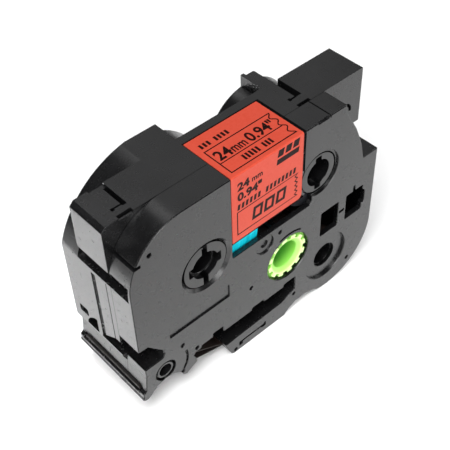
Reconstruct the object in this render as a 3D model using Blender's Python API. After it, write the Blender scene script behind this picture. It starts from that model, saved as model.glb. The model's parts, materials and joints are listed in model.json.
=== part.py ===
"""Laminated label-tape cassette, standing on its front edge.

Frame: millimetres in the constants, metres in the model. X runs along the cassette's length,
Y through its thickness with the holed cover at -Y, and Z up towards its rear edge. The origin is
the middle of the bottom of the bounding box.
"""
import math

import bmesh
import bpy
from mathutils import Matrix

MM = 0.001

# Overall size
LENGTH = 88.2
THICKNESS = 28.5
DEPTH = 67.7
CORNER_THICKNESS = 12.0

# Layers along Y
FRONT = -THICKNESS / 2
BACK = THICKNESS / 2
CORNER_FRONT = -CORNER_THICKNESS / 2
CORNER_BACK = CORNER_THICKNESS / 2
PLATE = 1.5
GAP = 0.3
INNER_FRONT = FRONT + PLATE
INNER_BACK = BACK - PLATE
BEYOND = 1.0
THROUGH = BACK + BEYOND

# Outline landmarks
LIP_X = -LENGTH / 2
LEFT_X = -43.4
RIGHT_X = LENGTH / 2
SHOULDER_X = 38.1
SHOULDER_Z = 44.4
REAR_LEFT_RADIUS = 17.4
FRONT_RIGHT_RADIUS = 17.5
FRONT_RIGHT_CENTRE = (26.6, 17.5)
WALL = 1.5

# Tape and ribbon
WEB_HALF_WIDTH = 11.9
WEB = 0.2
SPACER = 0.25

# Spool centres in X and Z
ADHESIVE = (-20.0, 44.1)
FILM = (20.2, 49.6)
RIBBON = (25.2, 13.4)
TAKE_UP = (9.2, 25.3)
ROLLER = (-35.9, 15.0)

# Roll and pocket radii
ADHESIVE_ROLL = 19.3
ADHESIVE_POCKET = 21.7
FILM_ROLL = 11.4
FILM_POCKET = 12.7
RIBBON_ROLL = 7.4
USED_ROLL = 8.9
ROLLER_RADIUS = 3.9
ROLLER_POCKET = 4.6

# Hubs and bores
ADHESIVE_CORE = 8.6
ADHESIVE_HUB = 7.0
ADHESIVE_HOLE = 7.4
ADHESIVE_BORE = 4.0
FILM_CORE = 6.9
FILM_HUB = 6.2
FILM_HOLE = 6.6
FILM_BORE = 4.1
RIBBON_CORE = 5.2
RIBBON_BORE = 3.7
RIBBON_HOLE = 4.2
TAKE_UP_CORE = 8.2
TAKE_UP_TOOTH = 7.15
TAKE_UP_ROOT = 6.1
TAKE_UP_BORE = 4.4
TAKE_UP_HOLE = 7.9
TAKE_UP_TEETH = 12
TAKE_UP_PHASE = 10.0
CLUTCH_BOSS = 5.3
CLUTCH_WELL = 7.3
CLUTCH_WELL_DEPTH = 3.1
ROLLER_JOURNAL = 2.75
ROLLER_BORE = 2.0
ROLLER_HOLE = 3.4

# Dished seats round two of the holes, hub end levels and key slots
RIBBON_DISH = 8.2
RIBBON_DISH_DEPTH = 0.9
FILM_DISH = 7.3
FILM_DISH_DEPTH = 0.6
ADHESIVE_HUB_END = BACK - 0.5
FILM_HUB_END = BACK - FILM_DISH_DEPTH
JOURNAL_END = BACK - 0.3
TOOTH_FRONT = FRONT + 0.4
KEY_FLOOR = BACK - 2.5
ADHESIVE_KEY = (0.85, 8.0)
ADHESIVE_SEAT = (5.4, 1.5)
FILM_KEY = (1.1, 5.4)

# Coil springs of the two ribbon spools
CLUTCH_RADIUS = 6.3
CLUTCH_START = 10.3
BRAKE_RADIUS = 4.95
BRAKE_START = 10.75
RIBBON_NECK = 4.4
RIBBON_NECK_START = 10.2
SPRING_WIRE = 0.25
SPRING_PITCH = 0.6
SPRING_SIDES = 6
SPRING_STEPS = 14

# Pin that turns the film into the arm, and posts that tie the halves together
BEND = (34.4, 6.2)
BEND_RADIUS = 1.0
POSTS = ((5.8, 37.6), (-4.9, 23.3), (-29.7, 20.2))
POST_RADIUS = 1.2
WRAP = 12.0

# Label
LABEL_X = (-11.1, 13.5)
LABEL_STRIP = 0.8
LABEL_BACK = 3.15
LABEL_BOTTOM = 45.4
LABEL_SINK = 0.1
LABEL_SHEET = 0.2
RECESS = LABEL_SINK + LABEL_SHEET + GAP

# Cover windows: low X, high X, low Z, high Z
SENSOR_WINDOWS = ((22.0, 29.1, 24.1, 33.2), (32.3, 39.3, 23.9, 33.2))
TAPE_WINDOW = (-11.3, 17.7, 40.2, 45.0)

# Groove in the left end and the gap beside the rear right corner
GROOVE_Z = (48.2, 53.2)
GROOVE_DEPTH = 1.8
GROOVE_FRONT = FRONT + 0.8
GROOVE_BACK = 7.3
CORNER_SLIT_X = (LEFT_X - BEYOND, -39.3)
CORNER_SLIT_Z = (58.4, 59.4)
NOTCH_Z = (SHOULDER_Z, 49.7)

# Rooms between the rolls and in the square corner, and the slots of the snap catches
VALLEY_X = (-4.0, 12.5)
VALLEY_Z = (45.0, DEPTH - WALL)
CORNER_ROOM_X = (29.0, RIGHT_X - WALL)
LATCH_LEFT = ((-34.9, -33.6), (-3.4, CORNER_BACK + GAP), (61.0, DEPTH + BEYOND))
LATCH_RIGHT = ((22.0, 24.1), (-2.7, CORNER_BACK + GAP), (64.9, DEPTH + BEYOND))
CHAMFER = 1.3

# Left end wall: groove beside the snap tongue, and openings above the tape exit
TONGUE_GROOVE = ((0.3, 2.3), (21.5, 47.0))
TONGUE_GROOVE_DEPTH = 0.9
SMALL_OPENING = ((7.7, 11.4), (24.2, 26.8))
EXIT_HOLE_X = -39.5

# Shell round the film roll in the back layer, and the low tab beside it
FILM_SHELL = (20.2, 50.0)
FILM_SHELL_RADIUS = 14.1
TAB_X = (19.3, 23.2)
TAB_TOP = 66.5


def arc(centre, radius, start, stop, step=10.0):
    """Points along an arc in X and Z, both ends included, angles in degrees."""
    count = max(2, round(abs(stop - start) / step))
    points = []
    for i in range(count + 1):
        angle = math.radians(start + (stop - start) * i / count)
        points.append((centre[0] + radius * math.cos(angle), centre[1] + radius * math.sin(angle)))
    return points


def circle(centre, radius, step=12.0):
    """A closed circle in X and Z."""
    return arc(centre, radius, 0.0, 360.0, step)[:-1]


def rectangle(x0, x1, z0, z1):
    """A rectangle in X and Z, anticlockwise."""
    return [(x0, z0), (x1, z0), (x1, z1), (x0, z1)]


def exit_recess():
    """The recess beside the tape path in the cover's left end."""
    return [(LEFT_X, 29.3), (-40.4, 29.1), (-36.0, 23.9), (-35.7, 22.2), (-36.3, 20.9)]


def exit_corner():
    """The left end from the tape path down: lip, and room for a pinch roller."""
    points = [(-42.3, 20.8), (-42.2, 17.7), (-42.8, 12.2), (LIP_X, 11.2), (-43.8, 9.4), (-42.6, 8.6)]
    points += arc((ROLLER[0], 5.1), 6.4, 139.8, 38.4)
    points += [(-30.1, 7.3), (-29.1, 6.9), (-25.2, 9.1), (-25.5, 10.7), (-26.3, 12.2), (-25.5, 13.3)]
    return points


def head_slot_and_arm():
    """The slot for the print head, then the tape arm below it, from left to right."""
    points = [(-23.4, 13.3), (-23.3, 14.3), (-19.2, 14.3), (-19.1, 15.7), (-15.5, 15.7), (-15.3, 13.3)]
    points += [(-4.6, 13.3), (-4.6, 14.3), (-0.1, 14.3), (-0.1, 13.3), (7.9, 13.3), (7.9, 14.3)]
    points += [(12.3, 14.3), (12.3, 9.0), (8.9, 7.9), (6.9, 7.2), (-11.1, 6.7), (-14.9, 6.3)]
    points += [(-13.9, 3.2), (-12.6, 0.5), (-11.9, 0.0), (8.7, 0.0)]
    return points


def front_right():
    """The dip beside the arm, the round front right corner and the right wall."""
    points = [(8.9, 0.6), (10.9, 2.0), (12.9, 2.9), (16.9, 3.0), (20.9, 1.7)]
    points += arc(FRONT_RIGHT_CENTRE, FRONT_RIGHT_RADIUS, -104.0, 0.0)
    return points


def slanted_edge():
    """The bulging edge from the right shoulder up to the rear edge."""
    return [(SHOULDER_X, SHOULDER_Z), (36.9, 49.7), (35.4, 53.7), (33.9, 57.2), (29.4, 65.2)]


def cover_outline():
    """Outline of the holed cover, anticlockwise from the rear edge's right end."""
    corner = (LEFT_X + REAR_LEFT_RADIUS, DEPTH - REAR_LEFT_RADIUS)
    points = [(29.2, DEPTH)]
    points += arc(corner, REAR_LEFT_RADIUS, 90.0, 180.0)
    points += exit_recess() + exit_corner() + head_slot_and_arm() + front_right()
    points += [(RIGHT_X, SHOULDER_Z)] + slanted_edge()
    return points


def middle_outline():
    """Outline of the middle layer, where both rear corners are square."""
    points = [(RIGHT_X, DEPTH), (LEFT_X + CHAMFER, DEPTH), (LEFT_X, DEPTH - CHAMFER), (LEFT_X, 20.4)]
    points += exit_corner()[1:] + head_slot_and_arm() + front_right()
    points += [(RIGHT_X, NOTCH_Z[0]), (SHOULDER_X, NOTCH_Z[0])]
    points += [(SHOULDER_X - 1.2, NOTCH_Z[1]), (RIGHT_X, NOTCH_Z[1])]
    return points


def back_left_waste():
    """What the back layer loses outside its large rear left arc."""
    points = arc((-15.6, 39.1), 29.2, 100.0, 163.5)
    points += [(LEFT_X - BEYOND, 47.0), (LEFT_X - BEYOND, DEPTH + BEYOND), (-20.7, DEPTH + BEYOND)]
    return points


def back_valley_waste():
    """What the back layer loses between the two tape rolls."""
    points = [(18.1, DEPTH + BEYOND), (18.1, 64.0)]
    points += arc(FILM_SHELL, FILM_SHELL_RADIUS, 100.0, 172.0)
    points += arc(ADHESIVE, 23.3, 20.0, 67.5)
    points += [(-11.1, DEPTH + BEYOND)]
    return points


def back_right_waste():
    """What the back layer loses outside its slanted right edge."""
    points = [(TAB_X[1], DEPTH + BEYOND), (TAB_X[1], 64.2)]
    points += arc(FILM_SHELL, FILM_SHELL_RADIUS + 0.4, 76.0, 22.0)[1:] + slanted_edge()[2::-1]
    points += [(RIGHT_X + BEYOND, SHOULDER_Z), (RIGHT_X + BEYOND, DEPTH + BEYOND)]
    return points


def tongue_gap():
    """Outline in Y and Z of the opening under the snap tongue in the left end wall."""
    near = CORNER_FRONT - BEYOND
    return [(2.4, 21.0), (1.9, 22.3), (-4.5, 26.3), (near, 26.3), (near, 21.0)]


def drain_hole():
    """Outline in Y and Z of the round topped opening in the left end wall."""
    return [(3.7, 21.0), (8.8, 21.0), (8.3, 22.6), (7.2, 24.2), (5.8, 25.5), (3.7, 26.4)]


def chamber_outline():
    """Room for the small spools and the tape paths, joined to the two round pockets."""
    points = [(-37.5, 33.0), (-34.9, 24.2), (-34.2, 21.0), (-33.0, 18.0), (-31.5, 15.8), (-23.2, 15.8)]
    points += [(-21.6, 16.4), (-14.2, 16.4), (-12.8, 15.3), (13.7, 15.3), (13.7, 7.6), (12.0, 7.2)]
    points += [(12.0, 4.0), (17.5, 4.0)]
    points += arc(FRONT_RIGHT_CENTRE, FRONT_RIGHT_RADIUS - 1.6, -118.0, 0.0)
    points += [(RIGHT_X - WALL, SHOULDER_Z - WALL), (36.5, SHOULDER_Z - WALL), (34.5, 46.5)]
    points += [(32.0, 50.5)]
    points += [(12.0, 42.0), (9.5, 47.0), (0.5, 47.0)]
    return points


def arm_channel():
    """Path of the film and the ink ribbon through the arm, open at its left end."""
    return [(-16.0, 3.4), (-13.0, 1.5), (8.4, 1.5), (12.4, 4.0), (12.4, 7.4), (8.9, 6.5), (6.9, 5.8),
            (-11.1, 5.4), (-16.0, 5.4)]


def mesh_object(name, bm):
    """Turn a bmesh in millimetres into an object in metres."""
    bmesh.ops.recalc_face_normals(bm, faces=bm.faces)
    bmesh.ops.scale(bm, vec=(MM, MM, MM), verts=bm.verts)
    mesh = bpy.data.meshes.new(name)
    bm.to_mesh(mesh)
    bm.free()
    obj = bpy.data.objects.new(name, mesh)
    bpy.context.scene.collection.objects.link(obj)
    return obj


def prism(name, points, y0, y1):
    """An outline in X and Z, extruded from y0 to y1."""
    bm = bmesh.new()
    face = bm.faces.new([bm.verts.new((x, y0, z)) for x, z in points])
    grown = bmesh.ops.extrude_face_region(bm, geom=[face])
    moved = [item for item in grown["geom"] if isinstance(item, bmesh.types.BMVert)]
    bmesh.ops.translate(bm, vec=(0.0, y1 - y0, 0.0), verts=moved)
    return mesh_object(name, bm)


def block(name, x_range, y_range, z_range):
    """A box given by its three ranges."""
    return prism(name, rectangle(*x_range, *z_range), *y_range)


def side_prism(name, points, x0, x1):
    """An outline in Y and Z, extruded from x0 to x1."""
    obj = prism(name, points, x0, x1)
    obj.data.transform(Matrix(((0, 1, 0, 0), (1, 0, 0, 0), (0, 0, 1, 0), (0, 0, 0, 1))))
    obj.data.flip_normals()
    return obj


def combine(target, tool, operation):
    """Apply a Boolean to the target and discard the tool."""
    modifier = target.modifiers.new("boolean", "BOOLEAN")
    modifier.operation = operation
    modifier.object = tool
    bpy.context.view_layer.update()
    graph = bpy.context.evaluated_depsgraph_get()
    mesh = bpy.data.meshes.new_from_object(target.evaluated_get(graph))
    target.modifiers.clear()
    target.data = mesh
    bpy.data.objects.remove(tool)
    return target


def cut(target, tool):
    """Take the tool away from the target."""
    return combine(target, tool, "DIFFERENCE")


def join(target, tool):
    """Join the tool to the target as one body."""
    return combine(target, tool, "UNION")


def cut_circle(target, centre, radius, y0, y1, step=12.0):
    """Cut a round hole along Y."""
    return cut(target, prism("hole", circle(centre, radius, step), y0, y1))


def cut_window(target, window, y0, y1):
    """Cut a rectangular window along Y."""
    return cut(target, prism("window", rectangle(*window), y0, y1))


def finish(obj, color, roughness, metallic=0.0, pivot=None):
    """Give an object its material, smooth shading and, for a turning piece, its axis as origin."""
    material = bpy.data.materials.new(obj.name)
    material.use_nodes = True
    shader = material.node_tree.nodes["Principled BSDF"]
    shader.inputs["Base Color"].default_value = (*color, 1.0)
    shader.inputs["Roughness"].default_value = roughness
    shader.inputs["Metallic"].default_value = metallic
    obj.data.materials.clear()
    obj.data.materials.append(material)
    obj.data.shade_smooth()
    obj.data.set_sharp_from_angle(angle=math.radians(30.0))
    if pivot:
        offset = (pivot[0] * MM, 0.0, pivot[1] * MM)
        for vertex in obj.data.vertices:
            vertex.co.x -= offset[0]
            vertex.co.z -= offset[2]
        obj.location = offset
    return obj


def cut_interior(half, y0, y1):
    """Hollow out a case half between y0 and y1."""
    cut(half, prism("chamber", chamber_outline(), y0, y1))
    cut(half, prism("channel", arm_channel(), y0, y1))
    cut_circle(half, ADHESIVE, ADHESIVE_POCKET, y0, y1, 10.0)
    cut_circle(half, FILM, FILM_POCKET, y0, y1)
    cut_circle(half, ROLLER, ROLLER_POCKET, y0, y1, 15.0)
    cut(half, prism("exit_slit", rectangle(LIP_X - BEYOND, -37.5, 10.6, 14.2), y0, y1))
    cut(half, prism("film_way", rectangle(-33.0, -24.9, 6.0, 10.4), y0, y1))
    cut(half, prism("ribbon_way", rectangle(-25.2, -24.2, 12.0, 16.6), y0, y1))


def cut_spool_holes(half, y0, y1):
    """Open the plate between y0 and y1 over each spool that shows on both faces."""
    cut_circle(half, ADHESIVE, ADHESIVE_HOLE, y0, y1)
    cut_circle(half, FILM, FILM_HOLE, y0, y1)
    cut_circle(half, RIBBON, RIBBON_HOLE, y0, y1, 15.0)
    cut_circle(half, ROLLER, ROLLER_HOLE, y0, y1, 15.0)


def make_top_case():
    """The holed cover with its shallow walls."""
    rim = CORNER_FRONT - GAP
    half = prism("top_case", cover_outline(), FRONT, rim)
    cut_interior(half, INNER_FRONT, rim + BEYOND)
    cut(half, block("valley", VALLEY_X, (INNER_FRONT, rim + BEYOND), VALLEY_Z))
    cut_spool_holes(half, FRONT - BEYOND, INNER_FRONT + BEYOND)
    cut_circle(half, TAKE_UP, TAKE_UP_HOLE, FRONT - BEYOND, INNER_FRONT + BEYOND)
    cut_circle(half, RIBBON, RIBBON_DISH, FRONT - BEYOND, FRONT + RIBBON_DISH_DEPTH)
    cut_circle(half, FILM, FILM_DISH, FRONT - BEYOND, FRONT + FILM_DISH_DEPTH)
    for window in SENSOR_WINDOWS:
        cut_window(half, window, FRONT - BEYOND, INNER_FRONT + BEYOND)
    cut_window(half, TAPE_WINDOW, FRONT - BEYOND, INNER_FRONT + BEYOND)
    label_end = LABEL_X[1] + LABEL_STRIP
    cut(half, block("face_recess", (LABEL_X[0] - GAP, label_end), (FRONT - BEYOND, FRONT + RECESS),
                    (LABEL_BOTTOM - GAP, DEPTH + BEYOND)))
    cut(half, block("edge_recess", (LABEL_X[0] - GAP, label_end), (FRONT - BEYOND, rim + BEYOND),
                    (DEPTH - RECESS, DEPTH + BEYOND)))
    groove = (LEFT_X - BEYOND, LEFT_X + GROOVE_DEPTH)
    cut(half, block("groove", groove, (GROOVE_FRONT, rim + BEYOND), GROOVE_Z))
    cut(half, block("corner_slit", CORNER_SLIT_X, (FRONT - BEYOND, rim + BEYOND), CORNER_SLIT_Z))
    return finish(half, (0.028, 0.028, 0.03), 0.42)


def make_bottom_case():
    """The deep half: both square rear corners, the back plate, guide posts and clutch boss."""
    half = prism("bottom_case", middle_outline(), CORNER_FRONT, BACK)
    for waste in (back_left_waste(), back_valley_waste(), back_right_waste()):
        cut(half, prism("waste", waste, CORNER_BACK, BACK + BEYOND))
    cut_interior(half, CORNER_FRONT - BEYOND, INNER_BACK)
    valley_back = CORNER_BACK - WALL
    cut(half, block("valley", VALLEY_X, (CORNER_FRONT - BEYOND, valley_back), VALLEY_Z))
    cut(half, block("corner_room", CORNER_ROOM_X, (CORNER_FRONT + WALL, valley_back),
                    (NOTCH_Z[1] + WALL, DEPTH - WALL)))
    for centre, radius in [(post, POST_RADIUS) for post in POSTS] + [(BEND, BEND_RADIUS)]:
        join(half, prism("post", circle(centre, radius, 45.0), INNER_FRONT + GAP, INNER_BACK + 0.5))
    join(half, prism("clutch_boss", circle(TAKE_UP, CLUTCH_BOSS, 15.0),
                     INNER_BACK - CLUTCH_WELL_DEPTH + GAP, INNER_BACK + 0.5))
    cut_spool_holes(half, INNER_BACK - BEYOND, BACK + BEYOND)
    cut_circle(half, TAKE_UP, TAKE_UP_BORE, 0.0, BACK + BEYOND, 15.0)
    label_end = LABEL_X[1] + LABEL_STRIP
    cut(half, block("edge_recess", (LABEL_X[0] - GAP, label_end), (CORNER_FRONT - BEYOND, LABEL_BACK + GAP),
                    (DEPTH - RECESS, DEPTH + BEYOND)))
    groove = (LEFT_X - BEYOND, LEFT_X + GROOVE_DEPTH)
    cut(half, block("groove", groove, (CORNER_FRONT - BEYOND, GROOVE_BACK), GROOVE_Z))
    cut(half, block("tongue_groove", (LEFT_X - BEYOND, LEFT_X + TONGUE_GROOVE_DEPTH), *TONGUE_GROOVE))
    for outline in (tongue_gap(), drain_hole()):
        cut(half, side_prism("opening", outline, LEFT_X - BEYOND, EXIT_HOLE_X))
    cut(half, block("small_opening", (LEFT_X - BEYOND, EXIT_HOLE_X), *SMALL_OPENING))
    cut(half, block("tab_step", TAB_X, (CORNER_BACK, BACK + BEYOND), (TAB_TOP, DEPTH + BEYOND)))
    cut(half, block("latch_slot_left", *LATCH_LEFT))
    cut(half, block("latch_slot_right", *LATCH_RIGHT))
    return finish(half, (0.026, 0.026, 0.028), 0.45)


def make_label():
    """The sticker that wraps from the cover's face over the rear edge."""
    top = DEPTH - LABEL_SINK
    face = FRONT + LABEL_SINK
    label = block("cassette_label", LABEL_X, (face, face + LABEL_SHEET), (LABEL_BOTTOM, top))
    join(label, block("edge_part", LABEL_X, (face, LABEL_BACK), (top - LABEL_SHEET, top)))
    return finish(label, (0.85, 0.13, 0.08), 0.35)


def ring(name, centre, inner, outer, y0, y1, step=12.0):
    """A flat-ended ring around a spool axis."""
    body = prism(name, circle(centre, outer, step), y0, y1)
    return cut_circle(body, centre, inner, y0 - BEYOND, y1 + BEYOND, step)


def stepped_spool(name, centre, core, hub, hub_end):
    """A spool core with a narrower hub at each end, both ends alike."""
    core_end = INNER_BACK - GAP
    body = prism(name, circle(centre, core), -core_end, core_end)
    return join(body, prism("hub", circle(centre, hub), -hub_end, hub_end))


def cut_key(spool, centre, half_sizes):
    """Cut a key slot across both ends of a hub."""
    x_range = (centre[0] - half_sizes[0], centre[0] + half_sizes[0])
    z_range = (centre[1] - half_sizes[1], centre[1] + half_sizes[1])
    for end in ((-THROUGH, -KEY_FLOOR), (KEY_FLOOR, THROUGH)):
        cut(spool, block("key", x_range, end, z_range))


def make_adhesive_spool():
    """Core of the adhesive roll, with four slots across the hub's ends."""
    spool = stepped_spool("adhesive_spool", ADHESIVE, ADHESIVE_CORE, ADHESIVE_HUB, ADHESIVE_HUB_END)
    cut_circle(spool, ADHESIVE, ADHESIVE_BORE, -THROUGH, THROUGH)
    cut_key(spool, ADHESIVE, ADHESIVE_KEY)
    cut_key(spool, ADHESIVE, ADHESIVE_SEAT)
    return finish(spool, (0.06, 0.06, 0.065), 0.4, pivot=ADHESIVE)


def make_film_spool():
    """Core of the clear film roll, with a key slot across its bore."""
    spool = stepped_spool("film_spool", FILM, FILM_CORE, FILM_HUB, FILM_HUB_END)
    cut_circle(spool, FILM, FILM_BORE, -THROUGH, THROUGH)
    cut_key(spool, FILM, FILM_KEY)
    return finish(spool, (0.05, 0.05, 0.055), 0.4, pivot=FILM)


def make_ribbon_spool():
    """Core of the ink ribbon supply, with a thinner neck for its brake spring."""
    end = INNER_BACK - GAP
    spool = prism("ribbon_spool", circle(RIBBON, RIBBON_CORE, 15.0), -end, RIBBON_NECK_START)
    join(spool, prism("neck", circle(RIBBON, RIBBON_NECK, 15.0), 0.0, end))
    cut_circle(spool, RIBBON, RIBBON_BORE, -THROUGH, THROUGH, 15.0)
    return finish(spool, (0.05, 0.05, 0.055), 0.45, pivot=RIBBON)


def toothed_outline(centre, root, tip, teeth, phase):
    """Outline of a ring of square teeth, the first one's middle at an angle in degrees."""
    points = []
    for tooth in range(teeth):
        middle = phase + 360.0 * tooth / teeth
        half = 90.0 / teeth
        points += arc(centre, tip, middle - half, middle + half, 360.0)[::2]
        points += arc(centre, root, middle + half, middle + 3.0 * half, 360.0)[::2]
    return points


def make_take_up_spool():
    """Green spool that winds the used ribbon, with drive teeth and a well for its clutch."""
    end = INNER_BACK - GAP
    spool = prism("take_up_spool", circle(TAKE_UP, TAKE_UP_CORE), -end, end)
    teeth = toothed_outline(TAKE_UP, TAKE_UP_ROOT, TAKE_UP_TOOTH, TAKE_UP_TEETH, TAKE_UP_PHASE)
    join(spool, prism("teeth", teeth, TOOTH_FRONT, -end + BEYOND))
    cut_circle(spool, TAKE_UP, TAKE_UP_BORE, -THROUGH, THROUGH)
    cut_circle(spool, TAKE_UP, CLUTCH_WELL, INNER_BACK - CLUTCH_WELL_DEPTH, THROUGH)
    return finish(spool, (0.32, 0.8, 0.1), 0.35, pivot=TAKE_UP)


def make_feed_roller():
    """Roller that the machine turns to draw the tape out."""
    end = INNER_BACK - GAP
    roller = prism("feed_roller", circle(ROLLER, ROLLER_RADIUS, 15.0), -end, end)
    join(roller, prism("journal", circle(ROLLER, ROLLER_JOURNAL, 15.0), -JOURNAL_END, JOURNAL_END))
    cut_circle(roller, ROLLER, ROLLER_BORE, -THROUGH, THROUGH, 15.0)
    return finish(roller, (0.25, 0.25, 0.26), 0.45, pivot=ROLLER)


def make_rolls():
    """The four wound rolls and the two spacer discs of the adhesive roll."""
    half = WEB_HALF_WIDTH
    roll = ring("adhesive_tape_roll", ADHESIVE, ADHESIVE_CORE + GAP, ADHESIVE_ROLL, -half, half, 10.0)
    finish(roll, (0.0, 0.45, 0.6), 0.4, pivot=ADHESIVE)
    near = half + GAP
    far = near + SPACER
    for name, y0, y1 in (("spacer_disc_front", -far, -near), ("spacer_disc_back", near, far)):
        disc = ring(name, ADHESIVE, ADHESIVE_CORE + GAP, ADHESIVE_ROLL, y0, y1, 10.0)
        finish(disc, (0.0, 0.55, 0.7), 0.3, pivot=ADHESIVE)
    roll = ring("film_roll", FILM, FILM_CORE + GAP, FILM_ROLL, -half, half)
    finish(roll, (0.5, 0.5, 0.48), 0.2, pivot=FILM)
    roll = ring("ink_ribbon_roll", RIBBON, RIBBON_CORE + GAP, RIBBON_ROLL, -half, half, 15.0)
    finish(roll, (0.03, 0.02, 0.02), 0.3, pivot=RIBBON)
    roll = ring("used_ribbon_roll", TAKE_UP, TAKE_UP_CORE + GAP, USED_ROLL, -half, half)
    finish(roll, (0.04, 0.03, 0.03), 0.3, pivot=TAKE_UP)


def strip(name, path, color, roughness):
    """A web of tape or ribbon: a path in X and Z given a thickness, as wide as the tape."""
    left, right = [], []
    for i, (x, z) in enumerate(path):
        before = path[max(i - 1, 0)]
        after = path[min(i + 1, len(path) - 1)]
        run = math.dist(before, after)
        nx = -(after[1] - before[1]) / run * WEB / 2
        nz = (after[0] - before[0]) / run * WEB / 2
        left.append((x + nx, z + nz))
        right.append((x - nx, z - nz))
    web = prism(name, left + right[::-1], -WEB_HALF_WIDTH, WEB_HALF_WIDTH)
    return finish(web, color, roughness)


def clear_of(radius):
    """Centre-line radius of a web that lies just clear of a round surface."""
    return radius + GAP + WEB / 2


def tangent_direction(first, second):
    """Direction in degrees of the straight run from one station to the next."""
    (x0, z0), r0, turn0 = first
    (x1, z1), r1, turn1 = second
    line = math.atan2(z1 - z0, x1 - x0)
    swing = math.asin((turn0 * r0 - turn1 * r1) / math.hypot(x1 - x0, z1 - z0))
    return math.degrees(line - swing)


def drawn_path(stations):
    """Path pulled tight round its stations: centre, radius, and 1 for clockwise or -1."""
    runs = [tangent_direction(*pair) for pair in zip(stations, stations[1:])]
    points = []
    for i, (centre, radius, turn) in enumerate(stations):
        if radius == 0.0:
            points.append(centre)
            continue
        into = runs[i - 1] if i else runs[0] + turn * WRAP
        out = runs[i] if i < len(runs) else runs[-1] - turn * WRAP
        swept = turn * ((turn * (into - out)) % 360.0)
        start = into + 90.0 * turn
        points += arc(centre, radius, start, start - swept, 20.0)
    return points


def make_webs():
    """The free stretches of adhesive tape, film and ink ribbon, each from roll to roll or exit."""
    near_roller = clear_of(ROLLER_RADIUS)
    path = drawn_path([(ADHESIVE, clear_of(ADHESIVE_ROLL), -1), (ROLLER, near_roller, 1),
                       ((-39.0, 11.6), 0.0, 1), ((-43.4, 12.3), 0.0, 1)])
    strip("adhesive_web", path, (0.55, 0.6, 0.62), 0.4)
    path = drawn_path([(FILM, clear_of(FILM_ROLL), 1), (BEND, clear_of(BEND_RADIUS), 1),
                       ((12.6, 5.1), 0.0, 1), ((-15.0, 4.1), 0.0, 1), (ROLLER, near_roller + WEB + GAP, 1),
                       ((-39.2, 11.0), 0.0, 1), ((-43.4, 11.7), 0.0, 1)])
    strip("film_web", path, (0.4, 0.4, 0.4), 0.15)
    path = drawn_path([(RIBBON, clear_of(RIBBON_ROLL), 1), ((12.6, 5.8), 0.0, 1), ((-15.0, 4.8), 0.0, 1),
                       ((-24.3, 9.9), 0.0, 1), ((-24.7, 10.8), 0.0, 1), ((-24.7, 16.4), 0.0, 1),
                       ((-24.0, 17.3), 0.0, 1), (TAKE_UP, clear_of(USED_ROLL), -1)])
    strip("ink_ribbon_web", path, (0.03, 0.018, 0.015), 0.25)


def make_spring(name, centre, radius, first_y, turns):
    """Coil of round wire about a spool axis."""
    bm = bmesh.new()
    loops = []
    for i in range(turns * SPRING_STEPS + 1):
        turn = 2.0 * math.pi * i / SPRING_STEPS
        y = first_y + SPRING_PITCH * i / SPRING_STEPS
        loop = []
        for side in range(SPRING_SIDES):
            around = 2.0 * math.pi * side / SPRING_SIDES
            reach = radius + SPRING_WIRE * math.cos(around)
            place = (centre[0] + reach * math.cos(turn), y + SPRING_WIRE * math.sin(around),
                     centre[1] + reach * math.sin(turn))
            loop.append(bm.verts.new(place))
        loops.append(loop)
    for first, second in zip(loops, loops[1:]):
        for side in range(SPRING_SIDES):
            after = (side + 1) % SPRING_SIDES
            bm.faces.new((first[side], first[after], second[after], second[side]))
    bm.faces.new(loops[0])
    bm.faces.new(loops[-1])
    return finish(mesh_object(name, bm), (0.6, 0.6, 0.62), 0.3, 1.0)


def main():
    """Build every piece of the cassette."""
    for obj in list(bpy.data.objects):
        bpy.data.objects.remove(obj)
    make_top_case()
    make_bottom_case()
    make_label()
    make_adhesive_spool()
    make_film_spool()
    make_ribbon_spool()
    make_take_up_spool()
    make_feed_roller()
    make_rolls()
    make_webs()
    make_spring("clutch_spring", TAKE_UP, CLUTCH_RADIUS, CLUTCH_START, 3)
    make_spring("ribbon_brake_spring", RIBBON, BRAKE_RADIUS, BRAKE_START, 2)


main()
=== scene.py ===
"""Looks of the laminated label tape cassette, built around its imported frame.

Shapes are drawn in millimetres, and smooth() scales each finished mesh to metres. X runs along the
cassette, Y through its thickness with the holed cover at -Y, and Z up towards its rear edge.
"""

import json
import math

import bmesh
import bpy
from mathutils import Matrix, Vector


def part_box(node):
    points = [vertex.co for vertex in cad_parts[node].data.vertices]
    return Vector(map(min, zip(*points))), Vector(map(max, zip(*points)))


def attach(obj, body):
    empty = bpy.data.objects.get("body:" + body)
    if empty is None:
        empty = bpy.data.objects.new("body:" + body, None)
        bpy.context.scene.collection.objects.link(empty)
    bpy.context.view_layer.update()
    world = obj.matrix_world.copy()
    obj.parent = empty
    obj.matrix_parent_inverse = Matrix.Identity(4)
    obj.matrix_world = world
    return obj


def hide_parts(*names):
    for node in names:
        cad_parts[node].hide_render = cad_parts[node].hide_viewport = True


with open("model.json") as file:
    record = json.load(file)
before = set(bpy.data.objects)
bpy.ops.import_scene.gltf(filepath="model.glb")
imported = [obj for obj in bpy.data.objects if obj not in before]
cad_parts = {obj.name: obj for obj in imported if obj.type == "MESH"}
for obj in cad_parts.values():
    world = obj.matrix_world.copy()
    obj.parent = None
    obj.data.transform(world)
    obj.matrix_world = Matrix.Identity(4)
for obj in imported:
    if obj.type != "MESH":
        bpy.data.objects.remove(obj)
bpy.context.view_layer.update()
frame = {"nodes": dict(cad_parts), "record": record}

MM = 0.001


def node_range(node, axis):
    """Low and high limit of a CAD node along one axis, in millimetres."""
    low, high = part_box(node)
    return low[axis] / MM, high[axis] / MM


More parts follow.
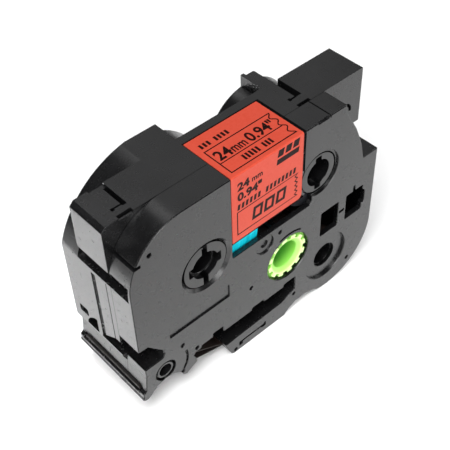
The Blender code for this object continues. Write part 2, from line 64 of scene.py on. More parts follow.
def joint_place(name):
    """X and Z of a joint's axis, in millimetres."""
    for joint in frame["record"]["behaviour"]["joints"]:
        if joint["name"] == name:
            return joint["pos_m"][0] / MM, joint["pos_m"][2] / MM
    raise KeyError(name)


# Levels taken from the frame
LIP_X, RIGHT_X = node_range("bottom_case", 0)
FRONT, RIM = node_range("top_case", 1)
BACK = node_range("bottom_case", 1)[1]
DEPTH = node_range("bottom_case", 2)[1]
LABEL_LOW_X, LABEL_HIGH_X = node_range("cassette_label", 0)
LABEL_FACE, LABEL_BACK = node_range("cassette_label", 1)
LABEL_BOTTOM, LABEL_TOP = node_range("cassette_label", 2)
ADHESIVE = joint_place("adhesive_reel_spin")
FILM = joint_place("film_reel_spin")
RIBBON = joint_place("ribbon_reel_spin")
TAKE_UP = joint_place("take_up_reel_spin")
ROLLER = joint_place("tape_roller_spin")

# Walls and parting line. The middle layer, with the square rear corners, runs from CORNER_FRONT to
# CORNER_BACK
PLATE = 1.5
WALL = 1.5
GAP = 0.3
SEAM = 0.06
CORNER_FRONT = RIM + SEAM
CORNER_BACK = -RIM - GAP
INNER_FRONT = FRONT + PLATE
INNER_BACK = BACK - PLATE

# Outline landmarks that the frame's boxes don't give
LEFT_X = LIP_X + 0.7
SHOULDER = (38.1, 44.4)
NOTCH_TOP = 49.7
REAR_LEFT_RADIUS = 17.4
FRONT_RIGHT_RADIUS = 17.5
FRONT_RIGHT_CENTRE = (RIGHT_X - FRONT_RIGHT_RADIUS, FRONT_RIGHT_RADIUS)
ADHESIVE_POCKET = 21.7
FILM_POCKET = 12.7
ROLLER_POCKET = 4.6
RECESS = 0.6
CHAMFER = 1.3
TAB_X = (19.3, 23.2)

# Edges: rounding of a rim, step round the cover's face, share of a side that a rounded corner or an
# inset may use up, least turn that is rounded, and the limit on how far a sharp corner moves
EDGE = 0.3
RIM_STEP = 0.22
CORNER_SHARE = 0.42
INSET_SHARE = 0.8
LEAST_TURN = math.radians(18.0)
SHARPEST = 0.35

# Cutters start CLEAR of a face or reach BEYOND it, and lie a HAIR apart so that no faces coincide
CLEAR = 0.05
HAIR = 0.013
BEYOND = 1.0


# ---------------------------------------------------------------- outlines

def arc(centre, radius, start, stop, step=4.0):
    """Points along an arc in X and Z, both ends included, angles in degrees."""
    count = max(2, round(abs(stop - start) / step))
    points = []
    for i in range(count + 1):
        angle = math.radians(start + (stop - start) * i / count)
        points.append((centre[0] + radius * math.cos(angle), centre[1] + radius * math.sin(angle)))
    return points


def circle(centre, radius, step=6.0):
    """A closed circle in X and Z."""
    return arc(centre, radius, 0.0, 360.0, step)[:-1]


def rectangle(x0, x1, z0, z1):
    """A rectangle in X and Z, anticlockwise."""
    return [(x0, z0), (x1, z0), (x1, z1), (x0, z1)]


def band(centre, radius, width, start, stop):
    """A curved slot's outline with round ends."""
    half = width / 2
    outer = arc(centre, radius + half, start, stop)
    inner = arc(centre, radius - half, stop, start)
    return outer + inner


def rounded(points, radius, steps=3):
    """The outline with each sharp corner turned into a small arc."""
    result = []
    count = len(points)
    for i, point in enumerate(points):
        here = Vector(point)
        before = Vector(points[i - 1]) - here
        after = Vector(points[(i + 1) % count]) - here
        turn = math.pi - before.angle(after, math.pi)
        if turn < LEAST_TURN:
            result.append(point)
            continue
        reach = min(radius * math.tan(turn / 2), CORNER_SHARE * before.length, CORNER_SHARE * after.length)
        start = here + before.normalized() * reach
        stop = here + after.normalized() * reach
        for k in range(steps + 1):
            t = k / steps
            spot = start * (1 - t) ** 2 + here * 2 * t * (1 - t) + stop * t ** 2
            result.append((spot.x, spot.y))
    return result


def corner_moves(points):
    """For each corner of an anticlockwise outline, its move when every side goes in by one."""
    moves = []
    count = len(points)
    for i, (x, z) in enumerate(points):
        x0, z0 = points[i - 1]
        x1, z1 = points[(i + 1) % count]
        first = Vector((z0 - z, x - x0)).normalized()
        second = Vector((z - z1, x1 - x)).normalized()
        moves.append((first + second) / max(SHARPEST, 1.0 + first.dot(second)))
    return moves


def inset(points, distance):
    """The outline moved inwards, or outwards if negative, less where a short side would turn over."""
    moves = corner_moves(points)
    sign = math.copysign(1.0, distance)
    reach = [abs(distance)] * len(points)
    for i in range(len(points)):
        j = (i + 1) % len(points)
        side = Vector(points[j]) - Vector(points[i])
        closing = sign * (moves[i] - moves[j]).dot(side.normalized())
        if closing > 0.0:
            room = INSET_SHARE * side.length / closing
            reach[i] = min(reach[i], room)
            reach[j] = min(reach[j], room)
    return [(x + move.x * sign * size, z + move.y * sign * size)
            for (x, z), move, size in zip(points, moves, reach)]


def exit_recess():
    """The recess beside the tape path in the cover's left end."""
    return [(LEFT_X, 29.3), (-40.4, 29.1), (-36.0, 23.9), (-35.7, 22.2), (-36.3, 20.9)]


def exit_corner():
    """The left end from the tape path down: lip, and room for a pinch roller."""
    points = [(-42.3, 20.8), (-42.2, 17.7), (-42.8, 12.2), (LIP_X + 0.25, 11.3), (LIP_X + 0.25, 9.8),
              (LIP_X, 9.5), (LIP_X, 8.9), (-43.4, 8.2), (-42.4, 8.1)]
    points += arc((ROLLER[0], 5.1), 6.4, 139.8, 38.4)
    points += [(-30.1, 7.3), (-29.1, 6.9), (-25.2, 9.1), (-25.5, 10.7), (-26.3, 12.2), (-25.5, 13.3)]
    return points


def head_slot_and_arm():
    """The slot for the print head, then the tape arm below it, from left to right."""
    points = [(-23.4, 13.3), (-23.3, 14.3), (-19.2, 14.3), (-19.1, 15.7), (-15.5, 15.7), (-15.3, 13.3)]
    points += [(-4.6, 13.3), (-4.6, 14.3), (-0.1, 14.3), (-0.1, 13.3), (7.9, 13.3), (7.9, 14.3)]
    points += [(12.3, 14.3), (12.3, 9.0), (8.9, 7.9), (6.9, 7.2), (-11.1, 6.7), (-14.9, 6.3)]
    points += [(-13.9, 3.2), (-12.6, 0.5), (-11.9, 0.0), (8.7, 0.0)]
    return points


def front_right():
    """The dip beside the arm, the round front right corner and the right wall."""
    points = [(8.9, 0.6), (10.9, 2.0), (12.9, 2.9), (16.9, 3.0), (20.9, 1.7)]
    points += arc(FRONT_RIGHT_CENTRE, FRONT_RIGHT_RADIUS, -104.0, 0.0)
    return points


def slanted_edge():
    """The bulging edge from the right shoulder up to the rear edge."""
    return [SHOULDER, (36.9, 49.7), (35.4, 53.7), (33.9, 57.2), (29.4, 65.2)]


def cover_outline():
    """Outline of the holed cover, anticlockwise from the rear edge's right end."""
    corner = (LEFT_X + REAR_LEFT_RADIUS, DEPTH - REAR_LEFT_RADIUS)
    points = [(29.2, DEPTH)]
    points += arc(corner, REAR_LEFT_RADIUS, 90.0, 180.0)
    points += exit_recess() + exit_corner() + head_slot_and_arm() + front_right()
    points += [(RIGHT_X, SHOULDER[1])] + slanted_edge()
    return rounded(points, 0.4)


def middle_outline():
    """Outline of the middle layer, where both rear corners are square."""
    points = [(RIGHT_X, DEPTH), (LEFT_X + CHAMFER, DEPTH), (LEFT_X, DEPTH - CHAMFER), (LEFT_X, 20.4)]
    points += exit_corner()[1:] + head_slot_and_arm() + front_right()
    points += [(RIGHT_X, SHOULDER[1]), SHOULDER]
    points += [(SHOULDER[0] - 1.2, NOTCH_TOP), (RIGHT_X, NOTCH_TOP)]
    return rounded(points, 0.4)


def back_wastes():
    """What the back layer loses: outside its rear left arc, between the rolls, and at the slanted edge."""
    left = arc((-15.6, 39.1), 29.2, 100.0, 163.5)
    left += [(LEFT_X - BEYOND, 47.0), (LEFT_X - BEYOND, DEPTH + BEYOND), (-20.7, DEPTH + BEYOND)]
    valley = [(18.1, DEPTH + BEYOND), (18.1, 64.0)]
    valley += arc((20.2, 50.0), 14.1, 100.0, 172.0)
    valley += arc(ADHESIVE, 23.3, 20.0, 67.5)
    valley += [(-11.1, DEPTH + BEYOND)]
    right = [(TAB_X[1], DEPTH + BEYOND), (TAB_X[1], 64.2)]
    right += arc((20.2, 50.0), 14.5, 76.0, 22.0)[1:]
    right += slanted_edge()[2::-1]
    right += [(RIGHT_X + BEYOND, SHOULDER[1]), (RIGHT_X + BEYOND, DEPTH + BEYOND)]
    return left[::-1], valley[::-1], right


def chamber_outline():
    """Room for the small spools and the tape paths, joined to the two round pockets."""
    points = [(-37.5, 33.0), (-34.9, 24.2), (-34.2, 21.0), (-33.0, 18.0), (-31.5, 15.8), (-23.2, 15.8)]
    points += [(-21.6, 16.4), (-14.2, 16.4), (-12.8, 15.3), (13.7, 15.3), (13.7, 7.6), (12.0, 7.2)]
    points += [(12.0, 4.0), (17.5, 4.0)]
    points += arc(FRONT_RIGHT_CENTRE, FRONT_RIGHT_RADIUS - 1.6, -118.0, 0.0)
    points += [(RIGHT_X - WALL, SHOULDER[1] - WALL), (36.5, SHOULDER[1] - WALL), (34.5, 46.5)]
    points += [(32.0, 50.5), (12.0, 42.0), (9.5, 47.0), (0.5, 47.0)]
    return points


def arm_channel():
    """Path of the film and the ink ribbon through the arm, open at its left end."""
    return [(-16.0, 3.4), (-13.0, 1.5), (8.4, 1.5), (12.4, 4.0), (12.4, 7.4), (8.9, 6.5), (6.9, 5.8),
            (-11.1, 5.4), (-16.0, 5.4)]


# ---------------------------------------------------------------- meshes

def mesh_object(name, bm):
    """Turn a bmesh into an object, still in millimetres."""
    bmesh.ops.recalc_face_normals(bm, faces=bm.faces)
    mesh = bpy.data.meshes.new(name)
    bm.to_mesh(mesh)
    bm.free()
    obj = bpy.data.objects.new(name, mesh)
    bpy.context.scene.collection.objects.link(obj)
    return obj


def stacked(name, loops):
    """A closed body through outlines of one point count, each given as (points, y)."""
    bm = bmesh.new()
    rings = [[bm.verts.new((x, y, z)) for x, z in points] for points, y in loops]
    count = len(rings[0])
    for lower, upper in zip(rings, rings[1:]):
        for i in range(count):
            j = (i + 1) % count
            bm.faces.new((lower[i], lower[j], upper[j], upper[i]))
    bm.faces.new(rings[0])
    bm.faces.new(rings[-1])
    return mesh_object(name, bm)


def prism(name, points, y0, y1):
    """An outline in X and Z, extruded from y0 to y1."""
    return stacked(name, [(points, y0), (points, y1)])


def side_prism(name, points, x0, x1):
    """An outline in Y and Z, extruded from x0 to x1."""
    obj = prism(name, points, x0, x1)
    obj.data.transform(Matrix(((0, 1, 0, 0), (1, 0, 0, 0), (0, 0, 1, 0), (0, 0, 0, 1))))
    obj.data.flip_normals()
    return obj


def round_over(points, y, size, inwards, steps=3):
    """Loops of a rounded rim that starts at level y and goes inwards along Y."""
    loops = []
    for k in range(steps + 1):
        angle = math.pi / 2 * k / steps
        level = y + inwards * size * (1 - math.cos(angle))
        loops.append((inset(points, size * (1 - math.sin(angle))), level))
    return loops


def slab(name, points, y0, y1, front=EDGE, back=EDGE):
    """An outline extruded from y0 to y1 with a rounded rim at both ends."""
    return stacked(name, round_over(points, y0, front, 1) + round_over(points, y1, back, -1)[::-1])


def stepped_slab(name, points, y0, y1, step, size):
    """An outline extruded from y0 to y1, with a small step round its front face."""
    face = inset(points, step)
    loops = round_over(face, y0, size, 1)
    loops += [(face, y0 + step), (points, y0 + step + HAIR)]
    return stacked(name, loops + round_over(points, y1, SEAM, -1)[::-1])


def lipped(name, points, face, depth, lip, inwards=1):
    """A cutter that leaves a sloping lip round its mouth at the face."""
    mouth = (inset(points, -lip - CLEAR), face - inwards * CLEAR)
    throat = (points, face + inwards * lip)
    floor = (points, face + inwards * depth)
    return stacked(name, [mouth, throat, floor])


def block(name, x_range, y_range, z_range):
    """A plain box for cutting or joining."""
    return prism(name, rectangle(*x_range, *z_range), *y_range)


def soft_block(name, x_range, y_range, z_range, size=0.2):
    """A box with every edge rounded."""
    return slab(name, rounded(rectangle(*x_range, *z_range), size), *y_range, size, size)


def lathe(name, centre, profile, step=6.0):
    """A ring turned about a spool axis from a closed profile of (radius, y) points."""
    bm = bmesh.new()
    count = round(360.0 / step)
    rings = []
    for i in range(count):
        angle = math.radians(step * i)
        ring = [bm.verts.new((centre[0] + r * math.cos(angle), y, centre[1] + r * math.sin(angle)))
                for r, y in profile]
        rings.append(ring)
    for i in range(count):
        first, second = rings[i], rings[(i + 1) % count]
        for k in range(len(profile)):
            m = (k + 1) % len(profile)
            bm.faces.new((first[k], first[m], second[m], second[k]))
    return mesh_object(name, bm)


def combine(target, tools, operation):
    """Apply one Boolean with all the tools at once, then discard them."""
    group = bpy.data.collections.new("tools")
    bpy.context.scene.collection.children.link(group)
    for tool in tools:
        group.objects.link(tool)
    modifier = target.modifiers.new("boolean", "BOOLEAN")
    modifier.operation = operation
    modifier.operand_type = "COLLECTION"
    modifier.collection = group
    bpy.context.view_layer.update()
    graph = bpy.context.evaluated_depsgraph_get()
    mesh = bpy.data.meshes.new_from_object(target.evaluated_get(graph))
    target.modifiers.clear()
    target.data = mesh
    for tool in tools:
        bpy.data.objects.remove(tool)
    bpy.data.collections.remove(group)
    return target


def cut(target, *tools):
    """Take the tools away from the target."""
    return combine(target, tools, "DIFFERENCE")


def join(target, *tools):
    """Join the tools to the target as one body."""
    return combine(target, tools, "UNION")


def smooth(obj, angle=38.0):
    """Scale to metres, shade smooth across small angles and keep flat faces flat."""
    obj.data.transform(Matrix.Scale(MM, 4))
    obj.data.shade_smooth()
    obj.data.set_sharp_from_angle(angle=math.radians(angle))
    weighted = obj.modifiers.new("weighted", "WEIGHTED_NORMAL")
    weighted.keep_sharp = True
    return obj


# ---------------------------------------------------------------- materials

def new_material(name, color, roughness, metallic=0.0):
    """A Principled material and the parts of its tree that the makers below use."""
    material = bpy.data.materials.new(name)
    material.use_nodes = True
    nodes = material.node_tree.nodes
    shader = nodes["Principled BSDF"]
    shader.inputs["Base Color"].default_value = (*color, 1.0)
    shader.inputs["Roughness"].default_value = roughness
    shader.inputs["Metallic"].default_value = metallic
    return material, nodes, material.node_tree.links, shader


def noise(nodes, links, coordinates, scale, detail=3.0, roughness=0.55):
    """A noise texture in millimetre units."""
    texture = nodes.new("ShaderNodeTexNoise")
    texture.inputs["Scale"].default_value = scale
    texture.inputs["Detail"].default_value = detail
    texture.inputs["Roughness"].default_value = roughness
    links.new(coordinates, texture.inputs["Vector"])
    return texture.outputs["Fac"]


def millimetres(nodes, links):
    """Object coordinates scaled to millimetres."""
    coordinates = nodes.new("ShaderNodeTexCoord")
    mapping = nodes.new("ShaderNodeMapping")
    mapping.inputs["Scale"].default_value = (1 / MM, 1 / MM, 1 / MM)
    links.new(coordinates.outputs["Object"], mapping.inputs["Vector"])
    return mapping.outputs["Vector"]


def remap(nodes, links, value, low, high, from_low=0.3, from_high=0.7):
    """Map a texture value to a range."""
    node = nodes.new("ShaderNodeMapRange")
    node.inputs["From Min"].default_value = from_low
    node.inputs["From Max"].default_value = from_high
    node.inputs["To Min"].default_value = low
    node.inputs["To Max"].default_value = high
    links.new(value, node.inputs["Value"])
    return node.outputs["Result"]


def tint(nodes, links, value, first, second):
    """Mix two colours by a value."""
    node = nodes.new("ShaderNodeMix")
    node.data_type = "RGBA"
    # In RGBA mode the colours are inputs 6 and 7, and the result is output 2
    node.inputs[6].default_value = (*first, 1.0)
    node.inputs[7].default_value = (*second, 1.0)
    links.new(value, node.inputs[0])
    return node.outputs[2]


def vary_color(nodes, links, shader, value, first, second):
    """Let a texture value mix the shader's colour from two."""
    mixed = tint(nodes, links, remap(nodes, links, value, 0.0, 1.0), first, second)
    links.new(mixed, shader.inputs["Base Color"])


def bump(nodes, links, shader, height, strength, distance):
    """Drive the shader's normal with a height value, distance in millimetres."""
    node = nodes.new("ShaderNodeBump")
    node.inputs["Strength"].default_value = strength
    node.inputs["Distance"].default_value = distance * MM
    links.new(height, node.inputs["Height"])
    links.new(node.outputs["Normal"], shader.inputs["Normal"])


def moulded_plastic(name, color, roughness, grain=0.006, mottling=0.25):
    """Moulded plastic: fine eroded grain, faint flow marks and a roughness that varies."""
    material, nodes, links, shader = new_material(name, color, roughness)
    place = millimetres(nodes, links)
    flow = noise(nodes, links, place, 0.09, 4.0)
    lighter = tuple(min(1.0, channel * (1 + mottling) + 0.002) for channel in color)
    darker = tuple(channel * (1 - mottling) for channel in color)
    vary_color(nodes, links, shader, flow, darker, lighter)
    scuff = noise(nodes, links, place, 0.6, 5.0)
    links.new(remap(nodes, links, scuff, roughness - 0.025, roughness + 0.025), shader.inputs["Roughness"])
    fine = noise(nodes, links, place, 5.0, 2.0)
    bump(nodes, links, shader, fine, 0.25, grain)
    shader.inputs["Specular IOR Level"].default_value = 0.7
    return material


def paint_light_and_shade_by_depth(material, levels):
    """Paint light and shade onto a plastic by its depth along Y: levels of (y in millimetres, colour), front
    to back.
    """
    nodes, links = material.node_tree.nodes, material.node_tree.links
    split = nodes.new("ShaderNodeSeparateXYZ")
    links.new(millimetres(nodes, links), split.inputs["Vector"])
    first, last = levels[0][0], levels[-1][0]
    depth = remap(nodes, links, split.outputs["Y"], 0.0, 1.0, first, last)
    ramp = nodes.new("ShaderNodeValToRGB")
    for place, color in levels[1:-1]:
        ramp.color_ramp.elements.new((place - first) / (last - first)).color = (*color, 1.0)
    ramp.color_ramp.elements[0].color = (*levels[0][1], 1.0)
    ramp.color_ramp.elements[len(levels) - 1].color = (*levels[-1][1], 1.0)
    links.new(depth, ramp.inputs["Fac"])
    links.new(ramp.outputs["Color"], nodes["Principled BSDF"].inputs["Base Color"])
    return material


def wound_side(name, color, roughness, centre, pitch, shine=0.3):
    """The side of a wound roll: fine rings about its axis, with uneven turns."""
    material, nodes, links, shader = new_material(name, color, roughness)
    place = millimetres(nodes, links)
    split = nodes.new("ShaderNodeSeparateXYZ")
    links.new(place, split.inputs["Vector"])
    squares = []
    for output, middle in (("X", centre[0]), ("Z", centre[1])):
        shifted = nodes.new("ShaderNodeMath")
        shifted.operation = "SUBTRACT"
        links.new(split.outputs[output], shifted.inputs[0])
        shifted.inputs[1].default_value = middle
        square = nodes.new("ShaderNodeMath")
        square.operation = "MULTIPLY"
        links.new(shifted.outputs[0], square.inputs[0])
        links.new(shifted.outputs[0], square.inputs[1])
        squares.append(square)
    total = nodes.new("ShaderNodeMath")
    total.operation = "ADD"
    links.new(squares[0].outputs[0], total.inputs[0])
    links.new(squares[1].outputs[0], total.inputs[1])
    root = nodes.new("ShaderNodeMath")
    root.operation = "SQRT"
    links.new(total.outputs[0], root.inputs[0])
    line = nodes.new("ShaderNodeCombineXYZ")
    links.new(root.outputs[0], line.inputs["X"])
    turns = noise(nodes, links, line.outputs["Vector"], 1.0 / pitch, 3.0)
    deep = tuple(channel * 0.7 for channel in color)
    pale = tuple(min(1.0, channel * 1.25 + 0.01) for channel in color)
    vary_color(nodes, links, shader, turns, deep, pale)
    bump(nodes, links, shader, turns, shine, 0.08)
    return material


def paper_label(name, color):
    """Coated label stock: slight fibre mottling and a soft satin coat."""
    material, nodes, links, shader = new_material(name, color, 0.42)
    place = millimetres(nodes, links)
    fibre = noise(nodes, links, place, 1.4, 6.0, 0.65)
    pale = tuple(min(1.0, channel * 1.05 + 0.01) for channel in color)
    vary_color(nodes, links, shader, fibre, color, pale)
    bump(nodes, links, shader, fibre, 0.2, 0.015)
    shader.inputs["Specular IOR Level"].default_value = 0.25
    return material


def printed_ink(name, color):
    """Printed ink: nearly flat, with slight density changes."""
    material, nodes, links, shader = new_material(name, color, 0.5)
    place = millimetres(nodes, links)
    density = noise(nodes, links, place, 2.5, 4.0)
    deeper = tuple(channel * 0.55 for channel in color)
    vary_color(nodes, links, shader, density, deeper, color)
    shader.inputs["Specular IOR Level"].default_value = 0.12
    return material


def thin_film(name, color, roughness):
    """A satin web of tape, film or ribbon with faint streaks along its run."""
    material, nodes, links, shader = new_material(name, color, roughness)
    place = millimetres(nodes, links)
    stretch = nodes.new("ShaderNodeMapping")
    stretch.inputs["Scale"].default_value = (0.15, 2.0, 0.15)
    links.new(place, stretch.inputs["Vector"])
    streaks = noise(nodes, links, stretch.outputs["Vector"], 1.0, 4.0)
    darker = tuple(channel * 0.75 for channel in color)
    vary_color(nodes, links, shader, streaks, darker, color)
    links.new(remap(nodes, links, streaks, roughness, roughness + 0.12), shader.inputs["Roughness"])
    return material


def spring_wire(name):
    """Drawn steel wire."""
    material, nodes, links, shader = new_material(name, (0.62, 0.62, 0.64), 0.28, 1.0)
    place = millimetres(nodes, links)
    drawn = noise(nodes, links, place, 8.0, 3.0)
    links.new(remap(nodes, links, drawn, 0.2, 0.38), shader.inputs["Roughness"])
    bump(nodes, links, shader, drawn, 0.2, 0.01)
    return material


# Painted light on the green plastic: pale at the teeth's faces as a painted reflection, and deeper down the
# bore as painted shade
GREEN_LIGHT_AND_SHADE = ((-13.75, (0.66, 0.95, 0.36)), (-13.4, (0.38, 0.8, 0.14)), (-12.2, (0.26, 0.66, 0.09)),
                (-9.5, (0.1, 0.42, 0.04)), (-6.0, (0.05, 0.3, 0.03)))

CASE = moulded_plastic("case_black", (0.003, 0.003, 0.0033), 0.26)
SPOOL = moulded_plastic("spool_black", (0.002, 0.002, 0.0023), 0.24)
# The green spool's colour has a painted reflection at its face and painted shade down its bore
GREEN = paint_light_and_shade_by_depth(moulded_plastic("spool_green", (0.3, 0.7, 0.1), 0.35, 0.01, 0.05), GREEN_LIGHT_AND_SHADE)
GREY = moulded_plastic("roller_grey", (0.006, 0.006, 0.0065), 0.26)
RED = paper_label("label_red", (0.48, 0.05, 0.024))
INK = printed_ink("label_ink", (0.012, 0.002, 0.0015))


def finish(obj, body, node, material):
    """Give a piece its material and its body, and hide the CAD node that it stands for."""
    obj.data.materials.clear()
    obj.data.materials.append(material)
    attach(obj, body)
    if node:
        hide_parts(node)
    return obj


# ---------------------------------------------------------------- case halves

# Pin sockets in the cover's face, in X and Z, and guide posts between the plates with their radii
PIN_SOCKETS = ((-36.6, 60.5), (5.8, 37.6), (-4.9, 23.3), (-29.7, 20.2), (12.1, 7.0), (35.0, 5.6),
               (-11.2, 1.3), (-30.4, 9.3), (-25.0, 14.9))
POSTS = ((5.8, 37.6, 1.2), (-4.9, 23.3, 1.2), (-29.7, 20.2, 1.2), (34.4, 6.2, 1.0))

# Groove and slit in the left end, room between the two large rolls, and room for the sticker
GROOVE_Z = (48.2, 53.2)
CORNER_SLIT_Z = (58.4, 59.4)
VALLEY_X = (-4.0, 12.5)
LABEL_ROOM = (LABEL_LOW_X - GAP, LABEL_HIGH_X + 0.8)

# Openings on the tape's way, in X and Z: exit slit, room for a pinch roller, and gap into the head slot
EXIT_SLIT = (LIP_X - BEYOND, -37.5, 10.6, 12.6)
PINCH_ROOM = (-33.0, -24.9, 6.0, 10.4)
WEB_GAP = (-25.2, -24.2, 12.0, 16.6)

# Slots, notches and steps of the snap catches in the rear edge, as (X range, Y range, floor level)
LEFT_CATCH = (((-34.9, -33.6), (-3.4, 4.7), 61.0),
              ((-37.9, -37.0), (-3.4, -2.4), 65.5),
              ((-37.2, -34.7), (-3.0, -2.5), 65.6),
              ((-38.2, -34.0), (-5.75, -5.1), 65.0),
              ((-38.2, -34.0), (-7.0, -5.6), 67.1),
              ((-38.1, -33.6), (4.1, 6.9), 67.0))
RIGHT_CATCH = (((22.0, 24.1), (-2.75, 6.9), 64.9),
               ((19.6, 20.5), (-3.1, -2.0), 65.5),
               ((20.4, 22.2), (-2.9, -2.3), 65.6),
               ((19.7, 24.0), (-7.1, -5.2), 66.0),
               ((TAB_X[0], TAB_X[1] + BEYOND), (6.15, BACK + BEYOND), 66.5))


def interior_cutters(y0, y1):
    """The hollows of a case half between y0 and y1, each a hair apart so that no faces coincide."""
    outlines = [chamber_outline(), arm_channel(), circle(ADHESIVE, ADHESIVE_POCKET, 4.0),
                circle(FILM, FILM_POCKET), circle(ROLLER, ROLLER_POCKET, 10.0),
                rectangle(*EXIT_SLIT), rectangle(*PINCH_ROOM), rectangle(*WEB_GAP)]
    return [prism("hollow", outline, y0 + HAIR * i, y1 + HAIR * i) for i, outline in enumerate(outlines)]


def stepped_hole(centre, face, inwards, steps, lip, step=6.0):
    """A round cutter that narrows in steps of (radius, depth), with a sloping lip at the face."""
    widest = steps[0][0]
    loops = [(circle(centre, widest + lip + CLEAR, step), face - inwards * CLEAR),
             (circle(centre, widest, step), face + inwards * lip)]
    for (radius, depth), after in zip(steps, steps[1:] + [None]):
        loops.append((circle(centre, radius, step), face + inwards * depth))
        if after:
            loops.append((circle(centre, after[0], step), face + inwards * depth))
    return stacked("hole", loops)


def spool_hole_cutters(face, inwards):
    """Holes over the spools that show on both faces."""
    through = PLATE + BEYOND
    return [stepped_hole(ADHESIVE, face, inwards, [(7.4, through)], 0.8),
            stepped_hole(FILM, face, inwards, [(7.3, 0.6), (6.6, through)], 0.12),
            stepped_hole(RIBBON, face, inwards, [(8.2, 0.9), (4.2, through)], 0.2),
            stepped_hole(ROLLER, face, inwards, [(3.4, through)], 0.12, 10.0)]


def cover_window_cutters():
    """Windows through the cover's face."""
    left = rectangle(22.0, 29.1, 24.1, 33.2)
    right = [(32.3, 23.9), (39.3, 23.9), (39.3, 26.0), (40.4, 26.0), (40.4, 30.4), (39.3, 31.5),
             (39.3, 33.2), (36.1, 33.2), (35.8, 35.5), (35.1, 35.2), (35.0, 33.2), (32.3, 33.2)]
    tape = [(-11.3, 40.2), (16.9, 40.2), (17.7, 41.2), (17.7, 44.2), (17.2, 45.0), (-11.3, 45.0)]
    return [lipped("window", rounded(outline, 0.4), FRONT, PLATE + BEYOND, 0.15)
            for outline in (left, right, tape)]


def cover_mark_cutters():
    """Pin sockets, slits and shallow pads in the cover's face."""
    hooked = [(-9.8, 1.8), (-8.4, 1.8), (-8.4, 2.9), (-1.1, 2.9), (-1.1, 2.4), (0.7, 2.4), (0.7, 4.1),
              (0.0, 4.1), (0.0, 3.5), (-9.8, 3.5)]
    cutters = [lipped("socket", circle(place, 0.7, 20.0), FRONT, 1.1, 0.12) for place in PIN_SOCKETS]
    cutters += [lipped("pad", rounded(rectangle(-33.4, -12.7, 26.5, 31.2), 0.3), FRONT, 0.45, 0.1),
                stepped_hole((0.3, 36.7), FRONT, 1, [(3.1, 0.5), (1.3, 1.0)], 0.15),
                lipped("slit", band(TAKE_UP, 9.1, 0.6, 60.0, 112.0), FRONT, 0.9, 0.08),
                lipped("slit", band(ROLLER, 7.5, 0.8, -40.0, 18.0), FRONT, 0.9, 0.08),
                lipped("slit", rounded(hooked, 0.25), FRONT, 0.9, 0.06),
                lipped("groove", rounded(rectangle(29.5, 31.8, 28.2, 29.1), 0.35), FRONT, 0.8, 0.08)]
    return cutters


def corner_catch_cutters():
    """Slots, notches and steps of the snap catches at both ends of the rear edge."""
    return [soft_block("catch", x_range, y_range, (low, DEPTH + BEYOND + HAIR * i), 0.1)
            for i, (x_range, y_range, low) in enumerate(LEFT_CATCH + RIGHT_CATCH)]


def left_wall_cutters():
    """Groove beside the snap tongue and the openings under it in the left end wall."""
    near = CORNER_FRONT - BEYOND
    tongue_gap = [(2.4, 21.0), (1.9, 22.3), (-4.5, 26.3), (near, 26.3), (near, 21.0)]
    round_top = [(3.7, 20.95), (8.8, 20.95), (8.6, 22.0), (8.0, 23.2), (7.1, 24.3), (5.9, 25.4), (4.6, 26.2),
                 (3.7, 26.4)]
    small = rounded(rectangle(7.7, 11.4, 24.2, 26.8), 0.5)
    cutters = [side_prism("opening", outline, LEFT_X - BEYOND, -39.5 + HAIR * i)
               for i, outline in enumerate((tongue_gap, round_top, small))]
    cutters += [soft_block("groove", (LEFT_X - BEYOND, LEFT_X + 0.5), (0.3, 2.0), (21.5, 47.0), 0.1),
                soft_block("seam", (LEFT_X - BEYOND, LEFT_X + 0.35), (-4.35, -4.05), (26.0, 47.6), 0.05)]
    return cutters


def cover_edge_cutters(behind):
    """Room for the sticker, then the groove, slits and step in the cover's left and rear edges."""
    return [block("recess", LABEL_ROOM, (FRONT - BEYOND, FRONT + RECESS),
                  (LABEL_BOTTOM - GAP, DEPTH + BEYOND)),
            block("recess", (LABEL_ROOM[0] - HAIR, LABEL_ROOM[1] + HAIR), (FRONT - 2.0, behind + 0.5),
                  (DEPTH - RECESS, DEPTH + 2.0)),
            soft_block("groove", (LEFT_X - 2.0, LEFT_X + 1.8), (FRONT + 0.8, behind + 1.0), GROOVE_Z),
            soft_block("slit", (LEFT_X - 2.0, -39.3), (FRONT - 2.0, behind + 1.5), CORNER_SLIT_Z, 0.15),
            soft_block("slit", (22.9, 23.3), (FRONT - 1.5, behind + 2.0), (66.9, DEPTH + 1.2), 0.1),
            soft_block("step", (18.6, 22.5), (FRONT - 2.0, FRONT + 0.6), (67.0, DEPTH + 1.5), 0.1)]


def make_cover():
    """The holed cover half."""
    half = stepped_slab("cover_shell", cover_outline(), FRONT, RIM, RIM_STEP, 0.1)
    behind = RIM + BEYOND
    cutters = interior_cutters(INNER_FRONT, behind) + spool_hole_cutters(FRONT, 1)
    cutters += cover_window_cutters() + cover_mark_cutters()
    cutters += [block("valley", VALLEY_X, (INNER_FRONT - HAIR, behind - HAIR), (45.0, DEPTH - WALL)),
                stepped_hole(TAKE_UP, FRONT, 1, [(7.9, PLATE + BEYOND)], 0.2)]
    cutters += cover_edge_cutters(behind)
    cut(half, *cutters)
    return finish(smooth(half), "case", "top_case", CASE)


